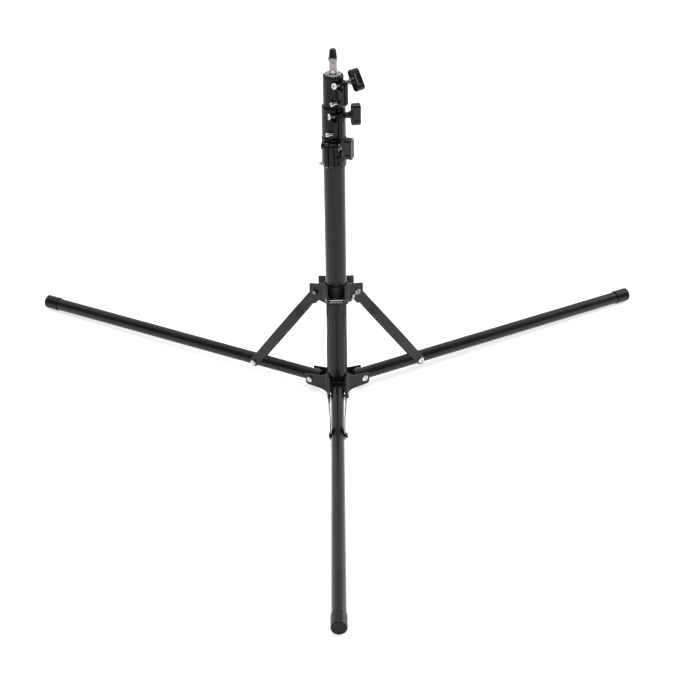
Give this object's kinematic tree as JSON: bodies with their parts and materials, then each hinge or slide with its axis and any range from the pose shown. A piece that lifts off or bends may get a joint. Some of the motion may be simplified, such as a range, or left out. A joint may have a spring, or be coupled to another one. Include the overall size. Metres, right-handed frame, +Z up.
{
  "type": "reverse folding light stand",
  "caption": "Collapsed light stand: nested column with clamp collars and T-knobs, round legs that fold up beside the column on flat struts, and a chrome stud on top.",
  "frame": {"origin": "on the column's axis, at the flat underside of its foot plug", "axes": "+Z up the column; the first leg points along -Y, the other two 120 degrees apart from it; +X is the longest extent"},
  "size_m": [1.109, 0.9611, 0.6325],
  "materials": {
    "gloss_black": "gloss black paint on drawn aluminium tube",
    "satin_black": "satin black paint on folded steel plate",
    "black_plastic": "satin black moulded plastic",
    "black_rubber": "matte black rubber",
    "grey_nylon": "dark grey nylon",
    "chrome": "polished chrome plate",
    "zinc": "bright zinc plate"
  },
  "bodies": {
    "column": {"outer_tube": "gloss_black", "column_foot_plug": "black_plastic", "hub_plate_1": "satin_black", "hub_plate_2": "satin_black", "hub_plate_3": "satin_black", "hub_bolt_1": "chrome", "hub_bolt_2": "chrome", "hub_bolt_3": "chrome", "lower_collar": "black_plastic", "lower_collar_bush": "grey_nylon", "lower_collar_screw": "zinc", "lower_collar_nut": "zinc"},
    "tube_2": {"tube_2": "gloss_black", "tube_2_guide": "grey_nylon", "middle_collar": "black_plastic", "middle_collar_bush": "grey_nylon", "middle_collar_screw": "zinc", "middle_collar_nut": "zinc"},
    "tube_3": {"tube_3": "gloss_black", "tube_3_guide": "grey_nylon", "top_collar": "black_plastic", "top_collar_bush": "grey_nylon", "top_collar_screw": "zinc", "top_collar_nut": "zinc"},
    "tube_4": {"tube_4": "gloss_black", "tube_4_guide": "grey_nylon", "spigot": "chrome"},
    "lower_knob": {"lower_knob": "black_plastic", "lower_knob_bolt": "chrome"},
    "middle_knob": {"middle_knob": "black_plastic", "middle_knob_bolt": "chrome"},
    "top_knob": {"top_knob": "black_plastic", "top_knob_bolt": "chrome"},
    "thread_cap": {"thread_cap": "black_rubber"},
    "slider": {"slider_bracket": "satin_black", "slider_bush": "black_plastic", "slider_clamp_screw_1": "zinc", "slider_clamp_screw_2": "zinc"},
    "leg_1": {"leg_1_tube": "gloss_black", "leg_1_foot": "black_rubber", "leg_1_plug": "black_plastic", "leg_1_strut_bolt": "chrome"},
    "strut_1": {"strut_1_left_strip": "satin_black", "strut_1_right_strip": "satin_black", "strut_1_spacer": "chrome"},
    "leg_2": {"leg_2_tube": "gloss_black", "leg_2_foot": "black_rubber", "leg_2_plug": "black_plastic", "leg_2_strut_bolt": "chrome"},
    "strut_2": {"strut_2_left_strip": "satin_black", "strut_2_right_strip": "satin_black", "strut_2_spacer": "chrome"},
    "leg_3": {"leg_3_tube": "gloss_black", "leg_3_foot": "black_rubber", "leg_3_plug": "black_plastic", "leg_3_strut_bolt": "chrome"},
    "strut_3": {"strut_3_left_strip": "satin_black", "strut_3_right_strip": "satin_black", "strut_3_spacer": "chrome"}
  },
  "joints": [
    {"name": "leg_1_hinge", "type": "hinge", "parent": "column", "child": "leg_1", "pos_m": [0, -0.046, 0.019], "axis": [-1, 0, 0], "range_deg": [0, 90.17]},
    {"name": "leg_2_hinge", "type": "hinge", "parent": "column", "child": "leg_2", "pos_m": [0.03984, 0.023, 0.019], "axis": [0.5, -0.866, 0], "range_deg": [0, 90.17]},
    {"name": "leg_3_hinge", "type": "hinge", "parent": "column", "child": "leg_3", "pos_m": [-0.03984, 0.023, 0.019], "axis": [0.5, 0.866, 0], "range_deg": [0, 90.17]},
    {"name": "strut_1_hinge", "type": "hinge", "parent": "leg_1", "child": "strut_1", "pos_m": [0, -0.16348, 0.0166], "axis": [1, 0, 0], "range_deg": [0, 122.27]},
    {"name": "strut_2_hinge", "type": "hinge", "parent": "leg_2", "child": "strut_2", "pos_m": [0.14157, 0.08174, 0.0166], "axis": [-0.5, 0.866, 0], "range_deg": [0, 122.27]},
    {"name": "strut_3_hinge", "type": "hinge", "parent": "leg_3", "child": "strut_3", "pos_m": [-0.14157, 0.08174, 0.0166], "axis": [-0.5, -0.866, 0], "range_deg": [0, 122.27]},
    {"name": "slider_slide", "type": "slide", "parent": "column", "child": "slider", "axis": [0, 0, 1], "range_m": [0, 0.16232]},
    {"name": "tube_2_slide", "type": "slide", "parent": "column", "child": "tube_2", "axis": [0, 0, 1], "range_m": [0, 0.38]},
    {"name": "tube_3_slide", "type": "slide", "parent": "tube_2", "child": "tube_3", "axis": [0, 0, 1], "range_m": [0, 0.42]},
    {"name": "tube_4_slide", "type": "slide", "parent": "tube_3", "child": "tube_4", "axis": [0, 0, 1], "range_m": [0, 0.46]},
    {"name": "lower_knob_turn", "type": "hinge", "parent": "column", "child": "lower_knob", "pos_m": [-0.00666, -0.01991, 0.472], "axis": [0.9483, -0.3173, 0], "range_deg": [0, 360]},
    {"name": "middle_knob_turn", "type": "hinge", "parent": "tube_2", "child": "middle_knob", "pos_m": [0.00452, -0.01814, 0.5225], "axis": [0.9703, 0.2419, 0], "range_deg": [0, 360]},
    {"name": "top_knob_turn", "type": "hinge", "parent": "tube_3", "child": "top_knob", "pos_m": [0.01113, -0.01477, 0.574], "axis": [0.7986, 0.6018, 0], "range_deg": [0, 360]},
    {"name": "thread_cap_slide", "type": "slide", "parent": "tube_4", "child": "thread_cap", "axis": [0, 0, 1], "range_m": [0, 0.02]}
  ],
  "couplings": [
    {"joint": "leg_2_hinge", "follows": "leg_1_hinge", "ratio": 1},
    {"joint": "leg_3_hinge", "follows": "leg_1_hinge", "ratio": 1},
    {"joint": "strut_1_hinge", "follows": "leg_1_hinge", "ratio": 1.356},
    {"joint": "strut_2_hinge", "follows": "leg_1_hinge", "ratio": 1.356},
    {"joint": "strut_3_hinge", "follows": "leg_1_hinge", "ratio": 1.356},
    {"joint": "slider_slide", "follows": "leg_1_hinge", "m_per_rad": 0.10314}
  ]
}
